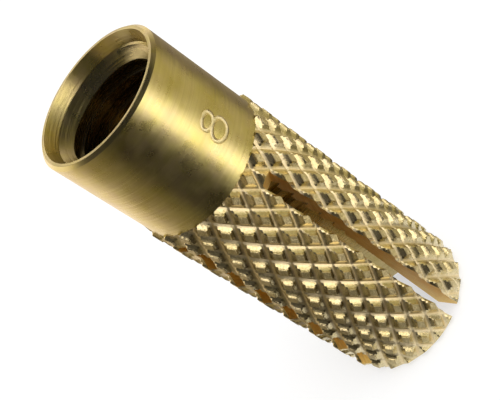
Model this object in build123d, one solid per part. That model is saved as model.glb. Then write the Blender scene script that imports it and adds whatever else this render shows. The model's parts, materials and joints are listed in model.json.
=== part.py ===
from build123d import *
from math import cos, pi, radians, sin, sqrt, tan
import os

# Brass expansion anchor: one turned, bored, knurled and slotted body.
# Millimetres. It stands on its slotted tail, with the mouth of the bore up: Z is the anchor's
# axis, Z = 0 is the tail face, and one of the slots faces -Y.

# overall
length = 28.0
shank_diameter = 10.0          # over the crests of the knurl
collar_length = 8.0
lip_chamfer = 0.2              # outside the mouth
tail_chamfer = 0.5             # outside the tail

# bore, at the thread's minor diameter, narrower at the tail so that a bolt spreads the leaves
bore_diameter = 6.7
mouth_diameter = 8.7
counterbore_diameter = 8.1     # at the bottom of its slight taper
counterbore_depth = 0.85
lead_half_angle = 45.0         # of the cone from the counterbore to the thread
tail_bore_diameter = 5.8
taper_length = 12.0

# diamond knurl: lines at one pitch and angle, laid both ways round the shank
knurl_pitch = 1.23             # square to the lines
knurl_angle = 30.4             # between a line and the axis
knurl_depth = 0.4
knurl_rise = 0.25              # of the crests above the collar
groove_half_angle = 45.0

# saw cuts, each made from the outside by a disc that reaches the axis
slot_count = 4
slot_width = 1.0
slot_length = 18.6             # from the tail, on the shank's surface
saw_radius = 15.0

# size number stamped on the collar, its top towards the mouth
stamp_angle = -80.0            # about Z, from +X
stamp_height = 23.0            # of its middle
stamp_stroke = 0.3
stamp_depth = 0.12
upper_loop = (0.70, 0.55)      # half width, half height
lower_loop = (0.85, 0.70)

clear = 1.0                    # how far a cutting solid runs past the surface it cuts

shank_radius = shank_diameter / 2
collar_radius = shank_radius - knurl_rise
shank_length = length - collar_length


def ring_point(radius, angle):
    """A point at a radius and an angle in radians, on the plane Z = 0."""
    return (radius * cos(angle), radius * sin(angle))


def knurl_lines(turn):
    """The shank with V grooves one way: a star with twisted arms, turn = 1 or -1."""
    starts = round(pi * shank_diameter * cos(radians(knurl_angle)) / knurl_pitch)
    around = 2 * pi / starts
    root_radius = shank_radius - knurl_depth
    # the groove's flanks go on past the crest and meet, and the shank's cylinder tops them later
    across = around * root_radius * cos(radians(knurl_angle)) / 2
    tip_radius = root_radius + across / tan(radians(groove_half_angle))
    points = []
    for arm in range(starts):
        points.append(ring_point(tip_radius, arm * around))
        points.append(ring_point(root_radius, (arm + 0.5) * around))
    star = make_face(Polyline(*points, close=True)).faces()[0]
    twist = turn * shank_length * tan(radians(knurl_angle)) / shank_radius * 180 / pi
    return Solid.extrude_linear_with_rotation(star, (0, 0, 0), (0, 0, shank_length), twist)


def make_shank():
    """Knurled shank: where the two sets of twisted arms and the chamfered cylinder overlap."""
    rod = Pos(0, 0, shank_length / 2) * Cylinder(shank_radius, shank_length)
    rod = chamfer(rod.edges().group_by(Axis.Z)[0], tail_chamfer)
    return rod & knurl_lines(1) & knurl_lines(-1)


def make_collar():
    collar = Pos(0, 0, length - collar_length / 2) * Cylinder(collar_radius, collar_length)
    return chamfer(collar.edges().group_by(Axis.Z)[-1], lip_chamfer)


def make_bore():
    """Counterbore, lead-in, straight bore and taper to the tail, as one turned cutting solid."""
    mouth_radius = mouth_diameter / 2
    counterbore_radius = counterbore_diameter / 2
    bore_radius = bore_diameter / 2
    tail_radius = tail_bore_diameter / 2
    lead_depth = (counterbore_radius - bore_radius) / tan(radians(lead_half_angle))
    outline = Polyline(
        (0, -clear),
        (tail_radius, -clear),
        (tail_radius, 0),
        (bore_radius, taper_length),
        (bore_radius, length - counterbore_depth - lead_depth),
        (counterbore_radius, length - counterbore_depth),
        (mouth_radius, length),
        (mouth_radius, length + clear),
        (0, length + clear),
        close=True,
    )
    return revolve(make_face(Plane.XZ * outline), Axis.Z)


def make_saw_cut():
    """One slot along +X: the saw's disc at the end of its cut, and the way it came from the tail."""
    rise = sqrt(saw_radius**2 - (saw_radius - shank_radius) ** 2)
    centre_height = slot_length - rise
    disc = Pos(saw_radius, 0, centre_height) * Rot(90, 0, 0) * Cylinder(saw_radius, slot_width)
    way_length = centre_height + clear
    way = Pos(saw_radius / 2, 0, centre_height - way_length / 2)
    return disc + way * Box(saw_radius, slot_width, way_length)


def make_stamp():
    """A plain figure eight, cut to one depth below the collar's surface."""
    upper = Ellipse(*upper_loop) - Ellipse(*[half - stamp_stroke for half in upper_loop])
    lower = Ellipse(*lower_loop) - Ellipse(*[half - stamp_stroke for half in lower_loop])
    waist = (lower_loop[1] - upper_loop[1]) / 2
    upper_rise = waist + upper_loop[1] - stamp_stroke / 2
    lower_drop = lower_loop[1] - stamp_stroke / 2 - waist
    figure = Pos(0, upper_rise) * upper + Pos(0, -lower_drop) * lower
    facing = Plane(
        origin=(0, 0, stamp_height),
        x_dir=(-sin(radians(stamp_angle)), cos(radians(stamp_angle)), 0),
        z_dir=(cos(radians(stamp_angle)), sin(radians(stamp_angle)), 0),
    )
    punch = extrude(facing * figure, collar_radius + clear)
    return punch - Pos(0, 0, stamp_height) * Cylinder(collar_radius - stamp_depth, length)


def make_anchor_body():
    body = make_shank() + make_collar()
    body -= make_bore()
    for index in range(slot_count):
        body -= Rot(0, 0, index * 360 / slot_count) * make_saw_cut()
    return body - make_stamp()


os.makedirs("parts", exist_ok=True)
export_step(make_anchor_body(), "parts/anchor_body.step")
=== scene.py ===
import json
import math

import bmesh
import bpy
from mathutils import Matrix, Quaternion, Vector


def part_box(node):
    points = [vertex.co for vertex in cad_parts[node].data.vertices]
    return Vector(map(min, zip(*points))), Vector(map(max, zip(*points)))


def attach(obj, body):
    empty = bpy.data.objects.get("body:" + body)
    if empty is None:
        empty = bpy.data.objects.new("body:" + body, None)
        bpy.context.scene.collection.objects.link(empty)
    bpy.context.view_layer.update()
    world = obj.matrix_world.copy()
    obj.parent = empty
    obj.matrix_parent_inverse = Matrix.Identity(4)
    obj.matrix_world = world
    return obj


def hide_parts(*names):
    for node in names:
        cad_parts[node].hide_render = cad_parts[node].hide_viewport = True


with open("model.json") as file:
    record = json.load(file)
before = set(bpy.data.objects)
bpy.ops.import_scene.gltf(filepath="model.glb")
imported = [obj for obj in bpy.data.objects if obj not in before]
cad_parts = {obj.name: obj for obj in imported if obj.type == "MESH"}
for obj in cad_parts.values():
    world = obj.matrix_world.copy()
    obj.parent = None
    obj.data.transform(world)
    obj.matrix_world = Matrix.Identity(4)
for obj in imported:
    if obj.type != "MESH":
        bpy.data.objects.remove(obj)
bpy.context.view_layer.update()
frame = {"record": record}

# Brass expansion anchor: the looks of its one turned, knurled, tapped and slotted body.
# Metres, in the frame of the CAD part: Z is the anchor's axis, Z = 0 is the tail face, and one
# of the slots faces -Y.

MM = 0.001

# sizes read from the part
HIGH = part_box("anchor_body")[1]
LENGTH = HIGH.z
SHANK_RADIUS = max(HIGH.x, HIGH.y)
THREAD = next(m for m in frame["record"]["mounts"] if m["name"] == "bolt_thread")
BORE_RADIUS = THREAD["dims"]["r_mm"] * MM
BORE_BOTTOM = THREAD["pos_m"][2] - THREAD["dims"]["length_mm"] / 2 * MM

# collar and ends
COLLAR_STEP = 0.25 * MM  # how far the collar lies below the knurl's crests
COLLAR_LENGTH = 8.0 * MM
COLLAR_RADIUS = SHANK_RADIUS - COLLAR_STEP
COLLAR_BOTTOM = LENGTH - COLLAR_LENGTH
LIP_CHAMFER = 0.2 * MM
TAIL_CHAMFER = 0.5 * MM
MOUTH_RADIUS = 4.35 * MM
COUNTERBORE_RADIUS = 4.05 * MM
COUNTERBORE_DEPTH = 0.85 * MM
TAIL_BORE_RADIUS = 2.9 * MM

# thread, M8
THREAD_PITCH = 1.25 * MM
THREAD_MAJOR_RADIUS = 4.0 * MM
THREAD_CREST = 0.5 * MM  # width of the flat between two turns
THREAD_START = 0.135 * MM
THREAD_FADE_TURNS = 3  # the last turns run out over this many pitches

# knurl
KNURL_LINES = 22
KNURL_ANGLE = math.radians(30.4)
KNURL_DEPTH = 0.4 * MM
KNURL_FLANK = 0.33  # share of a line's pitch that one flank takes
KNURL_CURVE = 1.5  # power of the flank's rise: above 1, the groove's bottom is round
KNURL_MARKS = (0, 0.35, 0.7, 1)  # shares of a flank where the stud has points
ROWS_BELOW = 2  # rows of studs past each end of the shank, which the trim takes off
KNURL_AROUND = 2 * math.pi / KNURL_LINES
KNURL_RISE = KNURL_AROUND * SHANK_RADIUS / math.tan(KNURL_ANGLE)

# slots
SLOT_COUNT = 4
SLOT_WIDTH = 1.0 * MM
SLOT_LENGTH = 18.6 * MM
SAW_RADIUS = 15.0 * MM

# size number on the collar
STAMP_ANGLE = math.radians(-80)
STAMP_HEIGHT = 23.0 * MM
STAMP_STROKE = 0.3 * MM
STAMP_DEPTH = 0.12 * MM
UPPER_LOOP = (0.70 * MM, 0.55 * MM)
LOWER_LOOP = (0.85 * MM, 0.70 * MM)

# mesh steps
SEGMENTS = 192
THREAD_STEPS = 128
SAW_STEPS = 32
PUNCH_STEPS = (64, 16)  # round the loop, and round the punch's nose
SHARP_ANGLE = math.radians(18)
CLEAR = 1.0 * MM  # how far a cutter runs past what it cuts
OVERLAP = 0.02 * MM  # how far joined shapes reach into each other

# camera
CAMERA_AZIMUTH = math.radians(-19.0)
CAMERA_ELEVATION = math.radians(34.1)
CAMERA_ROLL = math.radians(-56.0)
CAMERA_DISTANCE = 76.8 * MM
CAMERA_AIM_HEIGHT = 15.4 * MM
CAMERA_LENS = 90.2
CAMERA_SENSOR = 36

# light and paper
FLOOR_SIZE = 2.0
FLOOR_LIFT = 0.6
PAPER = (0.42, 0.42, 0.42, 1)
WHITE = (1, 1, 1, 1)
SKY_LIGHT = 0.8
LAMP_PLACE = (20, 65, 0.4)  # azimuth and elevation in degrees, distance in metres
LAMP_SIZE = 0.35
LAMP_POWER = 0.9

# tent: its outline as radius and height, and the heights and radii where its cards change
TENT = ((7, 0.3), (150, 0.3), (170, 20), (170, 150), (120, 220), (1, 250))
WALL_FROM = (0.5 * MM, 8 * MM)
ROOF_FROM = (100 * MM, 150 * MM)
SHADE_ENDS = (12 * MM, 20 * MM)

# colours of the tent's cards, by azimuth in degrees from the camera
FLOOR_CARDS = (
    (-180, (0.90, 0.78, 0.70)),
    (-158, (0.40, 0.34, 0.28)),
    (-120, (0.16, 0.13, 0.11)),
    (-98, (0.60, 0.54, 0.32)),
    (-58, (0.50, 0.45, 0.24)),
    (-46, (0.90, 0.84, 0.60)),
    (-38, (2.20, 2.10, 1.90)),
    (-24, (2.60, 2.50, 2.30)),
    (-14, (0.30, 0.28, 0.24)),
    (6, (0.04, 0.035, 0.025)),
    (44, (0.04, 0.035, 0.03)),
    (70, (0.22, 0.19, 0.10)),
    (96, (0.40, 0.34, 0.24)),
    (122, (1.10, 0.95, 0.80)),
    (150, (1.40, 1.22, 1.08)),
    (180, (0.90, 0.78, 0.70)),
)
WALL_CARDS = (
    (-180, (1.60, 1.45, 1.30)),
    (-150, (1.50, 1.35, 1.20)),
    (-125, (0.30, 0.26, 0.20)),
    (-95, (0.50, 0.45, 0.28)),
    (-60, (0.60, 0.55, 0.35)),
    (-45, (1.40, 1.35, 1.20)),
    (-34, (2.10, 1.95, 1.85)),
    (-12, (2.20, 2.05, 1.95)),
    (-2, (0.15, 0.14, 0.13)),
    (50, (0.06, 0.06, 0.06)),
    (62, (0.35, 0.28, 0.18)),
    (100, (0.50, 0.42, 0.30)),
    (116, (1.50, 1.35, 1.20)),
    (180, (1.60, 1.45, 1.30)),
)
SHADE = (0.03, 0.025, 0.02)
ROOF = (0.03, 0.03, 0.035)


# ---------------------------------------------------------------- node helpers


def put(tree, kind, settings=(), **inputs):
    """Adds a node, sets its settings, and sets or links its inputs by name or by number."""
    node = tree.nodes.new(kind)
    for name, value in dict(settings).items():
        setattr(node, name, value)
    for name, value in inputs.items():
        number = name.startswith("i") and name[1:].isdigit()
        socket = node.inputs[int(name[1:])] if number else node.inputs[name.replace("_", " ")]
        if isinstance(value, bpy.types.NodeSocket):
            tree.links.new(value, socket)
        else:
            socket.default_value = value
    return node


def maths(tree, kind, *values):
    """The result of one Math node."""
    inputs = {f"i{place}": value for place, value in enumerate(values)}
    return put(tree, "ShaderNodeMath", {"operation": kind}, **inputs).outputs[0]


def ramp(tree, factor, stops):
    """A Color Ramp with stops of (place, colour)."""
    node = put(tree, "ShaderNodeValToRGB", Fac=factor)
    marks = node.color_ramp.elements
    while len(marks) < len(stops):
        marks.new(0.5)
    for mark, (place, colour) in zip(marks, stops):
        mark.position = place
        mark.color = (*colour, 1)
    return node.outputs["Color"]


# ---------------------------------------------------------------- meshes


def mesh_object(name, points, faces, material=None):
    mesh = bpy.data.meshes.new(name)
    mesh.from_pydata(points, [], faces)
    if material:
        mesh.materials.append(material)
    piece = bpy.data.objects.new(name, mesh)
    bpy.context.scene.collection.objects.link(piece)
    tidy_normals(piece)
    return piece


def tidy_normals(piece):
    """Merges doubles and turns every face outwards."""
    work = bmesh.new()
    work.from_mesh(piece.data)
    bmesh.ops.remove_doubles(work, verts=work.verts, dist=1e-8)
    bmesh.ops.recalc_face_normals(work, faces=work.faces)
    work.to_mesh(piece.data)
    work.free()


def turned(name, outline, material=None):
    """A closed solid of revolution. The outline goes from the axis out and back to the axis."""
    points = [(0, 0, outline[0][1]), (0, 0, outline[-1][1])]
    faces = []
    rings = len(outline) - 2
    for radius, height in outline[1:-1]:
        for step in range(SEGMENTS):
            angle = 2 * math.pi * step / SEGMENTS
            points.append((radius * math.cos(angle), radius * math.sin(angle), height))
    for step in range(SEGMENTS):
        after = (step + 1) % SEGMENTS
        faces.append((0, 2 + after, 2 + step))
        last = 2 + (rings - 1) * SEGMENTS
        faces.append((1, last + step, last + after))
        for ring in range(rings - 1):
            here = 2 + ring * SEGMENTS
            there = here + SEGMENTS
            faces.append((here + step, here + after, there + after, there + step))
    return mesh_object(name, points, faces, material)


def knurl_height(across):
    """Height above the root, from groove (0) to groove (1): round-bottomed grooves, flat lands."""
    reach = min(1.0, min(across, 1 - across) / KNURL_FLANK)
    return KNURL_DEPTH * reach**KNURL_CURVE


def knurl_stud(material):
    """One diamond of the knurl, laid flat: X is the angle round the shank, Y is along it."""
    marks = [KNURL_FLANK * mark for mark in KNURL_MARKS]
    marks += [1 - mark for mark in reversed(marks)]
    count = len(marks)
    points = []
    faces = []
    for left in marks:
        for right in marks:
            angle = (left + right - 1) / 2 * KNURL_AROUND
            along = (right - left) / 2 * KNURL_RISE
            points.append((angle, along, min(knurl_height(left), knurl_height(right))))
    for row in range(count - 1):
        for column in range(count - 1):
            corner = row * count + column
            faces.append((corner, corner + 1, corner + count + 1, corner + count))
    return mesh_object("knurl stud", points, faces, material)


def knurl_tree():
    """Lays studs on a lattice, each row half a step round from the last, and rolls them up."""
    tree = bpy.data.node_groups.new("Knurl", "GeometryNodeTree")
    face = tree.interface
    face.new_socket("Geometry", in_out="INPUT", socket_type="NodeSocketGeometry")
    face.new_socket("Stud", in_out="INPUT", socket_type="NodeSocketObject")
    face.new_socket("Lines", in_out="INPUT", socket_type="NodeSocketInt")
    face.new_socket("Rows", in_out="INPUT", socket_type="NodeSocketInt")
    face.new_socket("Rows below", in_out="INPUT", socket_type="NodeSocketInt")
    face.new_socket("Around", in_out="INPUT", socket_type="NodeSocketFloat")
    face.new_socket("Rise", in_out="INPUT", socket_type="NodeSocketFloat")
    face.new_socket("Root radius", in_out="INPUT", socket_type="NodeSocketFloat")
    face.new_socket("Material", in_out="INPUT", socket_type="NodeSocketMaterial")
    face.new_socket("Geometry", in_out="OUTPUT", socket_type="NodeSocketGeometry")
    sizes = put(tree, "NodeGroupInput").outputs

    count = maths(tree, "MULTIPLY", sizes["Lines"], sizes["Rows"])
    index = put(tree, "GeometryNodeInputIndex").outputs[0]
    column = maths(tree, "FLOORED_MODULO", index, sizes["Lines"])
    row = maths(tree, "FLOOR", maths(tree, "DIVIDE", index, sizes["Lines"]))
    half = maths(tree, "MULTIPLY", maths(tree, "FLOORED_MODULO", row, 2.0), 0.5)
    angle = maths(tree, "MULTIPLY", maths(tree, "ADD", column, half), sizes["Around"])
    half_rise = maths(tree, "MULTIPLY", sizes["Rise"], 0.5)
    along = maths(tree, "MULTIPLY", maths(tree, "SUBTRACT", row, sizes["Rows below"]), half_rise)
    lattice = put(tree, "ShaderNodeCombineXYZ", X=angle, Y=along).outputs[0]
    points = put(tree, "GeometryNodePoints", Count=count, Position=lattice).outputs[0]
    stud = put(tree, "GeometryNodeObjectInfo", Object=sizes["Stud"]).outputs["Geometry"]
    studs = put(tree, "GeometryNodeInstanceOnPoints", Points=points, Instance=stud).outputs[0]
    flat = put(tree, "GeometryNodeRealizeInstances", Geometry=studs).outputs[0]

    place = put(tree, "GeometryNodeInputPosition").outputs[0]
    place = put(tree, "ShaderNodeSeparateXYZ", Vector=place).outputs
    radius = maths(tree, "ADD", place["Z"], sizes["Root radius"])
    rolled = put(
        tree,
        "ShaderNodeCombineXYZ",
        X=maths(tree, "MULTIPLY", radius, maths(tree, "COSINE", place["X"])),
        Y=maths(tree, "MULTIPLY", radius, maths(tree, "SINE", place["X"])),
        Z=place["Y"],
    ).outputs[0]
    shell = put(tree, "GeometryNodeSetPosition", Geometry=flat, Position=rolled).outputs[0]
    shell = put(tree, "GeometryNodeMergeByDistance", Geometry=shell, Distance=1e-6).outputs[0]
    shell = put(
        tree, "GeometryNodeSetMaterial", Geometry=shell, Material=sizes["Material"]
    ).outputs[0]
    put(tree, "NodeGroupOutput", Geometry=shell)
    return tree


def grow(name, tree, **values):
    """Runs a tree on an empty mesh and keeps the result as a plain mesh."""
    piece = bpy.data.objects.new(name, bpy.data.meshes.new(name))
    bpy.context.scene.collection.objects.link(piece)
    modifier = piece.modifiers.new("tree", "NODES")
    modifier.node_group = tree
    for item in tree.interface.items_tree:
        if item.in_out == "INPUT" and item.name.replace(" ", "_") in values:
            modifier[item.identifier] = values[item.name.replace(" ", "_")]
    bake(piece)
    return piece


def bake(piece):
    """Turns the evaluated object into a plain mesh with no modifiers."""
    bpy.context.view_layer.update()
    graph = bpy.context.evaluated_depsgraph_get()
    result = bpy.data.meshes.new_from_object(piece.evaluated_get(graph))
    piece.modifiers.clear()
    piece.data = result


def knurled_rod(material):
    """A rod with the whole knurl on it, longer than the shank at both ends, and closed."""
    stud = knurl_stud(material)
    rows = math.ceil(COLLAR_BOTTOM / (KNURL_RISE / 2)) + 2 * ROWS_BELOW
    rod = grow(
        "knurled rod",
        knurl_tree(),
        Stud=stud,
        Lines=KNURL_LINES,
        Rows=rows,
        Rows_below=ROWS_BELOW,
        Around=KNURL_AROUND,
        Rise=KNURL_RISE,
        Root_radius=SHANK_RADIUS - KNURL_DEPTH,
        Material=material,
    )
    bpy.data.objects.remove(stud)
    work = bmesh.new()
    work.from_mesh(rod.data)
    bmesh.ops.remove_doubles(work, verts=work.verts, dist=1e-6)
    middle = COLLAR_BOTTOM / 2
    ends = {}
    for side, height in ((False, -KNURL_RISE), (True, COLLAR_BOTTOM + KNURL_RISE)):
        ends[side] = work.verts.new((0, 0, height))
    for edge in [edge for edge in work.edges if edge.is_boundary]:
        start, end = edge.verts
        work.faces.new((start, end, ends[start.co.z > middle]))
    bmesh.ops.recalc_face_normals(work, faces=work.faces)
    work.to_mesh(rod.data)
    work.free()
    return rod


def thread_tap(material):
    """The bore with its thread, as one closed cutter whose rows climb one pitch in each turn."""
    depth = THREAD_MAJOR_RADIUS - BORE_RADIUS
    stops = ((-THREAD_CREST / 2, 0), (THREAD_CREST / 2, 0), (THREAD_PITCH / 2, 1))
    steps = THREAD_STEPS
    turns = range(-3, math.ceil(LENGTH / THREAD_PITCH) + 1)  # past both ends of the bore
    rows = [(turn * THREAD_PITCH + along, cut) for turn in turns for along, cut in stops]
    points = []
    for along, cut in rows:
        for step in range(steps):
            height = THREAD_START + along + THREAD_PITCH * step / steps
            narrow = min(1.0, max(0.0, 1 - height / BORE_BOTTOM))
            wall = BORE_RADIUS + (TAIL_BORE_RADIUS - BORE_RADIUS) * narrow
            run_out = (height - BORE_BOTTOM) / (THREAD_FADE_TURNS * THREAD_PITCH)
            fade = min(1.0, max(0.0, 1 + run_out))
            radius = wall + depth * cut * fade
            angle = 2 * math.pi * step / steps
            points.append((radius * math.cos(angle), radius * math.sin(angle), height))
    faces = []
    per_turn = len(stops)
    for row in range(len(rows) - 1):
        for step in range(steps):
            corner = row * steps + step
            if step < steps - 1:
                faces.append((corner, corner + 1, corner + steps + 1, corner + steps))
            elif row + 1 + per_turn < len(rows):
                start = (row + per_turn) * steps
                faces.append((corner, start, start + steps, corner + steps))
    tap = mesh_object("thread tap", points, faces, material)
    work = bmesh.new()
    work.from_mesh(tap.data)
    loose = [vert for vert in work.verts if not vert.link_faces]
    bmesh.ops.delete(work, geom=loose, context="VERTS")
    heights = [vert.co.z for vert in work.verts]
    poles = [work.verts.new((0, 0, height)) for height in (min(heights), max(heights))]
    for edge in [edge for edge in work.edges if edge.is_boundary]:
        start, end = edge.verts
        work.faces.new((start, end, poles[start.co.z > LENGTH / 2]))
    bmesh.ops.recalc_face_normals(work, faces=work.faces)
    work.to_mesh(tap.data)
    work.free()
    return tap


def saw_centre():
    """The height of the saw's axis, whose blade leaves the shank at the slot's length."""
    return SLOT_LENGTH - math.sqrt(SAW_RADIUS**2 - (SAW_RADIUS - SHANK_RADIUS) ** 2)


def saw(index, material):
    """A saw cut as one flat outline: the tail end square, the other end the saw's own arc."""
    centre = saw_centre()
    far = SHANK_RADIUS + CLEAR
    reach = math.acos((SAW_RADIUS - far) / SAW_RADIUS)
    outline = [(far, -CLEAR), (0, -CLEAR)]
    for step in range(SAW_STEPS + 1):
        angle = math.pi - reach * step / SAW_STEPS
        outline.append((SAW_RADIUS * (1 + math.cos(angle)), centre + SAW_RADIUS * math.sin(angle)))
    turn = 2 * math.pi * index / SLOT_COUNT
    points = []
    for side in (-SLOT_WIDTH / 2, SLOT_WIDTH / 2):
        for out, height in outline:
            x = out * math.cos(turn) - side * math.sin(turn)
            y = out * math.sin(turn) + side * math.cos(turn)
            points.append((x, y, height))
    count = len(outline)
    faces = [tuple(range(count)), tuple(range(count, 2 * count))]
    for corner in range(count):
        after = (corner + 1) % count
        faces.append((corner, after, count + after, count + corner))
    return mesh_object("saw", points, faces, material)


def stamp_loop(half_width, half_height, middle, material):
    """One loop of the figure eight: a round-nosed punch wrapped on the collar."""
    around, section = PUNCH_STEPS
    punch_radius = (STAMP_STROKE**2 / 4 + STAMP_DEPTH**2) / (2 * STAMP_DEPTH)
    axis_radius = COLLAR_RADIUS + punch_radius - STAMP_DEPTH
    points = []
    for step in range(around):
        turn = 2 * math.pi * step / around
        side = math.cos(turn) * (half_width - STAMP_STROKE / 2)
        rise = math.sin(turn) * (half_height - STAMP_STROKE / 2)
        out = Vector((math.cos(turn) * half_height, math.sin(turn) * half_width)).normalized()
        for corner in range(section):
            roll = 2 * math.pi * corner / section
            across = punch_radius * math.cos(roll)
            radius = axis_radius + punch_radius * math.sin(roll)
            angle = STAMP_ANGLE + (side + across * out.x) / COLLAR_RADIUS
            height = STAMP_HEIGHT + middle + rise + across * out.y
            points.append((radius * math.cos(angle), radius * math.sin(angle), height))
    faces = []
    for step in range(around):
        here, there = step * section, (step + 1) % around * section
        for corner in range(section):
            after = (corner + 1) % section
            faces.append((here + corner, here + after, there + after, there + corner))
    return mesh_object("stamp", points, faces, material)


def combine(piece, kind, *others):
    """Joins, cuts or trims a piece by each of the others in turn, and removes them."""
    for other in others:
        modifier = piece.modifiers.new("combine", "BOOLEAN")
        modifier.operation = kind
        modifier.solver = "MANIFOLD"
        modifier.object = other
        modifier.material_mode = "TRANSFER"
        bake(piece)
        bpy.data.objects.remove(other)


# ---------------------------------------------------------------- materials


def mapped(tree, value, low, high, to_low=0.0, to_high=1.0):
    """A value moved from one range to another, and kept inside it."""
    inputs = {"Value": value, "From_Min": low, "From_Max": high, "To_Min": to_low, "To_Max": to_high}
    return put(tree, "ShaderNodeMapRange", **inputs).outputs[0]


def noise(tree, vector, scale, detail=3.0, distortion=0.0):
    """A Noise Texture's value, spread out to fill 0 to 1."""
    inputs = {"Vector": vector, "Scale": scale, "Detail": detail, "Distortion": distortion}
    value = put(tree, "ShaderNodeTexNoise", **inputs).outputs[0]
    return mapped(tree, value, 0.3, 0.7)


def mixed(tree, factor, first, second):
    """Two colours mixed. Sockets 6 and 7 are the Mix node's colours, and output 2 its result."""
    colours = [
        value if isinstance(value, bpy.types.NodeSocket) else (*value, 1)
        for value in (first, second)
    ]
    inputs = {"i0": factor, "i6": colours[0], "i7": colours[1]}
    return put(tree, "ShaderNodeMix", {"data_type": "RGBA"}, **inputs).outputs[2]


def joined(tree, x, y, z):
    """Three values as one vector."""
    return put(tree, "ShaderNodeCombineXYZ", X=x, Y=y, Z=z).outputs[0]


def scaled(tree, value, factor):
    return maths(tree, "MULTIPLY", value, factor)


class Brass:
    """A brass material being made, with the places that its patterns are laid out by."""

    def __init__(self, name):
        self.material = bpy.data.materials.new(name)
        self.material.use_nodes = True
        self.tree = self.material.node_tree
        self.shader = self.tree.nodes["Principled BSDF"]
        self.shader.inputs["Metallic"].default_value = 1.0
        self.place = put(self.tree, "ShaderNodeTexCoord").outputs["Object"]
        parts = put(self.tree, "ShaderNodeSeparateXYZ", Vector=self.place).outputs
        self.x, self.y, self.z = parts
        squares = [maths(self.tree, "MULTIPLY", side, side) for side in (self.x, self.y)]
        self.radius = maths(self.tree, "SQRT", maths(self.tree, "ADD", *squares))

    def rings(self, spacing, drift=0.35):
        """Fine lines round the axis, as a lathe tool leaves on walls and on faces alike."""
        along = maths(self.tree, "MULTIPLY_ADD", self.radius, 1.37, self.z)
        along = scaled(self.tree, along, 1 / spacing)
        around = [
            scaled(self.tree, maths(self.tree, "DIVIDE", side, self.radius), drift)
            for side in (self.x, self.y)
        ]
        return noise(self.tree, joined(self.tree, *around, along), 1.0, 4.0)

    def patches(self, size, detail=3.0):
        """Soft patches of a given size."""
        return noise(self.tree, self.place, 1 / size, detail)

    def finish(self, colour, roughness, height, depth):
        """Links the patterns to the shader. A height of 0 to 1 is depth deep."""
        inputs = {"Height": height, "Strength": 1.0, "Distance": depth}
        bump = put(self.tree, "ShaderNodeBump", **inputs).outputs[0]
        self.tree.links.new(colour, self.shader.inputs["Base Color"])
        self.tree.links.new(roughness, self.shader.inputs["Roughness"])
        self.tree.links.new(bump, self.shader.inputs["Normal"])
        return self.material


def turned_brass():
    """Collar, mouth and end faces: lathe marks, and a slight uneven tarnish."""
    brass = Brass("turned brass")
    tree = brass.tree
    lines = brass.rings(0.16 * MM)
    fine = brass.rings(0.06 * MM, 1.2)
    colour = mixed(tree, brass.patches(2.2 * MM), (0.58, 0.48, 0.14), (0.76, 0.66, 0.30))
    colour = mixed(tree, scaled(tree, brass.patches(0.9 * MM, 2.0), 0.5), colour, (0.66, 0.52, 0.33))
    colour = mixed(tree, scaled(tree, lines, 0.22), colour, (0.40, 0.32, 0.13))
    roughness = mapped(tree, brass.patches(1.1 * MM), 0.0, 1.0, 0.24, 0.36)
    height = maths(tree, "MULTIPLY_ADD", fine, 0.4, lines)
    return brass.finish(colour, roughness, height, 0.01 * MM)


def knurled_brass_with_painted_highlight():
    """The shank: dull scuffed lands, clean flanks, and a painted highlight: the grooves' bottoms are
    painted pale cream.
    """
    brass = Brass("knurled brass")
    tree = brass.tree
    root = SHANK_RADIUS - KNURL_DEPTH
    rise = mapped(tree, brass.radius, root, SHANK_RADIUS)
    stretched = maths(tree, "MULTIPLY_ADD", brass.x, 0.6, scaled(tree, brass.z, 0.35))
    scuffs = noise(tree, joined(tree, stretched, brass.y, brass.z), 1 / (0.09 * MM), 3.0, 0.6)
    grain = brass.patches(0.14 * MM, 4.0)
    land = mixed(tree, brass.patches(1.6 * MM), (0.70, 0.58, 0.28), (0.84, 0.72, 0.44))
    land = mixed(tree, scaled(tree, grain, 0.5), land, (0.36, 0.29, 0.14))
    # painted highlight: side is low in the grooves' bottoms, which are painted pale cream to stand
    # for the light they catch
    side = mapped(tree, maths(tree, "MULTIPLY_ADD", grain, 0.12, rise), 0.08, 0.34)
    colour = mixed(tree, side, (0.92, 0.79, 0.52), land)
    dull = maths(tree, "MAXIMUM", mapped(tree, rise, 0.9, 1.0), mapped(tree, side, 1.0, 0.0))
    roughness = mapped(tree, maths(tree, "MULTIPLY_ADD", grain, 0.2, dull), 0.0, 1.2, 0.2, 0.6)
    worn = mapped(tree, rise, 0.7, 1.0, 0.2, 1.6)
    height = maths(tree, "MULTIPLY", maths(tree, "ADD", scuffs, grain), worn)
    return brass.finish(colour, roughness, height, 0.014 * MM)


def tapped_brass_with_painted_shade():
    """The thread and the bore: brass painted a darker brown as painted shade, with the tap's fine
    lines.
    """
    brass = Brass("tapped brass")
    tree = brass.tree
    lines = brass.rings(0.09 * MM)
    # painted shade: these browns are darker than the collar's brass, to stand for the shade inside
    # the bore
    colour = mixed(tree, brass.patches(1.2 * MM), (0.50, 0.40, 0.16), (0.64, 0.52, 0.28))
    colour = mixed(tree, scaled(tree, lines, 0.3), colour, (0.32, 0.24, 0.10))
    roughness = mapped(tree, lines, 0.0, 1.0, 0.2, 0.32)
    return brass.finish(colour, roughness, lines, 0.002 * MM)


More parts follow.
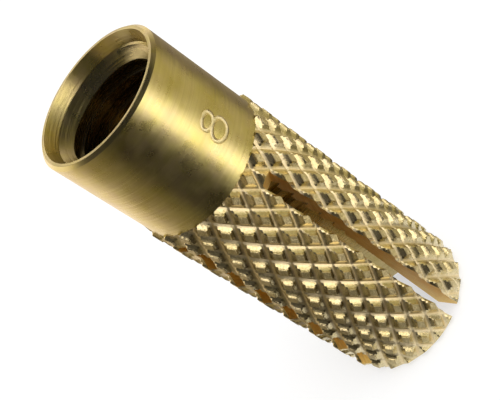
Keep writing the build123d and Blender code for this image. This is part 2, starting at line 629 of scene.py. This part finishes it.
def sawn_brass_with_painted_bounce_light():
    """The slots: fresh-cut metal, painted a deep golden orange as painted light bounced inside the
    brass, with the saw's arcs across it.
    """
    brass = Brass("sawn brass")
    tree = brass.tree
    out = maths(tree, "MAXIMUM", *[maths(tree, "ABSOLUTE", side) for side in (brass.x, brass.y)])
    across = maths(tree, "SUBTRACT", SAW_RADIUS, out)
    along = maths(tree, "SUBTRACT", brass.z, saw_centre())
    squares = [maths(tree, "MULTIPLY", side, side) for side in (across, along)]
    reach = maths(tree, "SQRT", maths(tree, "ADD", *squares))
    arcs = noise(tree, joined(tree, reach, 0.0, 0.0), 1 / (0.12 * MM), 3.0)
    # fresh-cut brass, deepened to golden orange as painted bounce light from the brass round it
    colour = mixed(tree, brass.patches(1.5 * MM), (0.90, 0.58, 0.14), (0.95, 0.72, 0.26))
    colour = mixed(tree, scaled(tree, arcs, 0.35), colour, (0.50, 0.32, 0.10))
    roughness = mapped(tree, arcs, 0.0, 1.0, 0.42, 0.58)
    return brass.finish(colour, roughness, arcs, 0.02 * MM)


def stamped_brass_with_painted_highlight():
    """The size number: painted paler than the collar, as a painted highlight on the punch's strokes.
    """
    brass = Brass("stamped brass")
    tree = brass.tree
    grain = brass.patches(0.2 * MM)
    # painted highlight: paler than the collar so that the strokes show bright
    colour = mixed(tree, grain, (0.80, 0.68, 0.38), (0.90, 0.80, 0.52))
    roughness = mapped(tree, grain, 0.0, 1.0, 0.4, 0.55)
    return brass.finish(colour, roughness, grain, 0.004 * MM)


# ---------------------------------------------------------------- the anchor


def make_anchor():
    """The knurled rod trimmed to length, joined to the collar, then bored, sawn and stamped."""
    lathe_finish = turned_brass()
    punch_finish = stamped_brass_with_painted_highlight()
    body = knurled_rod(knurled_brass_with_painted_highlight())
    body.name = "anchor"
    tip = SHANK_RADIUS + OVERLAP
    chamfer_end = TAIL_CHAMFER + OVERLAP
    trim = turned(
        "shank trim",
        [
            (0, 0),
            (SHANK_RADIUS - TAIL_CHAMFER, 0),
            (tip, chamfer_end),
            (tip, COLLAR_BOTTOM),
            (0, COLLAR_BOTTOM),
        ],
        lathe_finish,
    )
    combine(body, "INTERSECT", trim)
    neck = COLLAR_RADIUS - 2 * KNURL_DEPTH
    low = COLLAR_BOTTOM - OVERLAP
    collar = turned(
        "collar",
        [
            (0, low - CLEAR),
            (neck, low - CLEAR),
            (neck, low),
            (COLLAR_RADIUS, low),
            (COLLAR_RADIUS, LENGTH - LIP_CHAMFER),
            (COLLAR_RADIUS - LIP_CHAMFER, LENGTH),
            (0, LENGTH),
        ],
        lathe_finish,
    )
    combine(body, "UNION", collar)
    step = LENGTH - COUNTERBORE_DEPTH
    mouth = turned(
        "mouth",
        [
            (0, step - COUNTERBORE_RADIUS),
            (COUNTERBORE_RADIUS, step),
            (MOUTH_RADIUS, LENGTH),
            (MOUTH_RADIUS, LENGTH + CLEAR),
            (0, LENGTH + CLEAR),
        ],
        lathe_finish,
    )
    combine(body, "DIFFERENCE", thread_tap(tapped_brass_with_painted_shade()), mouth)
    saw_finish = sawn_brass_with_painted_bounce_light()
    combine(body, "DIFFERENCE", *[saw(index, saw_finish) for index in range(SLOT_COUNT)])
    waist = (LOWER_LOOP[1] - UPPER_LOOP[1]) / 2
    up = waist + UPPER_LOOP[1] - STAMP_STROKE / 2
    down = waist - LOWER_LOOP[1] + STAMP_STROKE / 2
    combine(
        body,
        "DIFFERENCE",
        stamp_loop(*UPPER_LOOP, up, punch_finish),
        stamp_loop(*LOWER_LOOP, down, punch_finish),
    )
    body.data.set_sharp_from_angle(angle=SHARP_ANGLE)
    body.data.name = "anchor"
    return body


# ---------------------------------------------------------------- stage


def seen_share(tree):
    """1 for rays that show the background: straight, mirrored, or through glass."""
    path = put(tree, "ShaderNodeLightPath").outputs
    seen = maths(tree, "MAXIMUM", path["Is Camera Ray"], path["Is Glossy Ray"])
    return maths(tree, "MAXIMUM", seen, path["Is Transmission Ray"])


def make_floor():
    """Pale paper. It is lifted to white where it is seen, and keeps the anchor's shadow."""
    size = FLOOR_SIZE
    corners = [(-size, -size, 0), (size, -size, 0), (size, size, 0), (-size, size, 0)]
    material = bpy.data.materials.new("pale paper")
    material.use_nodes = True
    tree = material.node_tree
    tree.nodes.clear()
    paper = put(tree, "ShaderNodeBsdfDiffuse", Color=PAPER).outputs[0]
    lift = scaled(tree, seen_share(tree), FLOOR_LIFT)
    glow = put(tree, "ShaderNodeEmission", Color=WHITE, Strength=lift).outputs[0]
    both = put(tree, "ShaderNodeAddShader", i0=paper, i1=glow).outputs[0]
    put(tree, "ShaderNodeOutputMaterial", Surface=both)
    floor = mesh_object("floor", corners, [(0, 1, 2, 3)], material)


def make_world():
    """Even soft light, shown as white paper."""
    world = bpy.data.worlds.new("studio")
    bpy.context.scene.world = world
    world.use_nodes = True
    tree = world.node_tree
    tree.nodes.clear()
    strength = mapped(tree, seen_share(tree), 0.0, 1.0, SKY_LIGHT, 1.0)
    sky = put(tree, "ShaderNodeBackground", Color=WHITE, Strength=strength).outputs[0]
    put(tree, "ShaderNodeOutputWorld", Surface=sky)


def card_stops(cards):
    """Color Ramp stops for cards round the tent, from (azimuth from the camera, colour)."""
    return [((azimuth + 180) / 360, colour) for azimuth, colour in cards]


def make_tent():
    """A ring of pale and dark cards round the anchor, on the floor and up. Only metal sees it."""
    points = []
    faces = []
    for radius, height in TENT:
        for step in range(SEGMENTS):
            angle = 2 * math.pi * step / SEGMENTS
            place = (radius * math.cos(angle), radius * math.sin(angle), height)
            points.append([side * MM for side in place])
    for ring in range(len(TENT) - 1):
        for step in range(SEGMENTS):
            here = ring * SEGMENTS
            after = (step + 1) % SEGMENTS
            faces.append((here + step, here + after, here + SEGMENTS + after, here + SEGMENTS + step))
    material = bpy.data.materials.new("cards")
    material.use_nodes = True
    tree = material.node_tree
    tree.nodes.clear()
    place = put(tree, "ShaderNodeTexCoord").outputs["Object"]
    x, y, height = put(tree, "ShaderNodeSeparateXYZ", Vector=place).outputs
    forward = Vector((math.sin(CAMERA_AZIMUTH), -math.cos(CAMERA_AZIMUTH)))
    ahead = maths(tree, "MULTIPLY_ADD", x, forward.x, scaled(tree, y, forward.y))
    aside = maths(tree, "MULTIPLY_ADD", x, forward.y, scaled(tree, y, -forward.x))
    turn = maths(tree, "ARCTAN2", aside, ahead)
    turn = mapped(tree, turn, -math.pi, math.pi)
    raised = mapped(tree, height, *WALL_FROM)
    colour = mixed(
        tree,
        raised,
        ramp(tree, turn, card_stops(FLOOR_CARDS)),
        ramp(tree, turn, card_stops(WALL_CARDS)),
    )
    squares = [maths(tree, "MULTIPLY", side, side) for side in (x, y)]
    radius = maths(tree, "SQRT", maths(tree, "ADD", *squares))
    clear = maths(tree, "ADD", mapped(tree, radius, *SHADE_ENDS), mapped(tree, height, 0.0, MM))
    colour = mixed(tree, clear, SHADE, colour)
    roof = mapped(tree, height, *ROOF_FROM)
    colour = mixed(tree, roof, colour, ROOF)
    glow = put(tree, "ShaderNodeEmission", Color=colour, Strength=1.0).outputs[0]
    put(tree, "ShaderNodeOutputMaterial", Surface=glow)
    tent = mesh_object("cards", points, faces, material)
    tent.visible_camera = False
    tent.visible_diffuse = False
    tent.visible_transmission = False
    tent.visible_shadow = False


def outwards(azimuth, elevation):
    """The direction from the anchor at two angles in radians. At azimuth 0 it is -Y."""
    flat = math.cos(elevation)
    return Vector((math.sin(azimuth) * flat, -math.cos(azimuth) * flat, math.sin(elevation)))


def make_lamp():
    """A soft square lamp that faces the anchor. The metal doesn't mirror it."""
    azimuth, elevation, distance = LAMP_PLACE
    lamp = bpy.data.lights.new("soft lamp", "AREA")
    lamp.size = LAMP_SIZE
    lamp.energy = LAMP_POWER
    holder = bpy.data.objects.new("soft lamp", lamp)
    back = outwards(math.radians(azimuth), math.radians(elevation))
    holder.location = Vector((0, 0, LENGTH / 2)) + back * distance
    holder.rotation_euler = back.to_track_quat("Z", "Y").to_euler()
    holder.visible_glossy = False
    bpy.context.scene.collection.objects.link(holder)


def make_camera():
    """Looks down at the anchor from the side of one slot, rolled so that its mouth is up left."""
    lens = bpy.data.cameras.new("camera")
    lens.lens = CAMERA_LENS
    lens.sensor_width = CAMERA_SENSOR
    lens.clip_start = MM
    holder = bpy.data.objects.new("camera", lens)
    back = outwards(CAMERA_AZIMUTH, CAMERA_ELEVATION)
    holder.location = Vector((0, 0, CAMERA_AIM_HEIGHT)) + back * CAMERA_DISTANCE
    holder.rotation_mode = "QUATERNION"
    turn = back.to_track_quat("Z", "Y")
    holder.rotation_quaternion = Quaternion(back, CAMERA_ROLL) @ turn
    bpy.context.scene.collection.objects.link(holder)
    bpy.context.scene.camera = holder


bpy.context.scene.view_settings.view_transform = "Standard"
make_camera()
make_world()
make_floor()
make_tent()
make_lamp()

anchor = make_anchor()
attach(anchor, "root")
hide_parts("anchor_body")
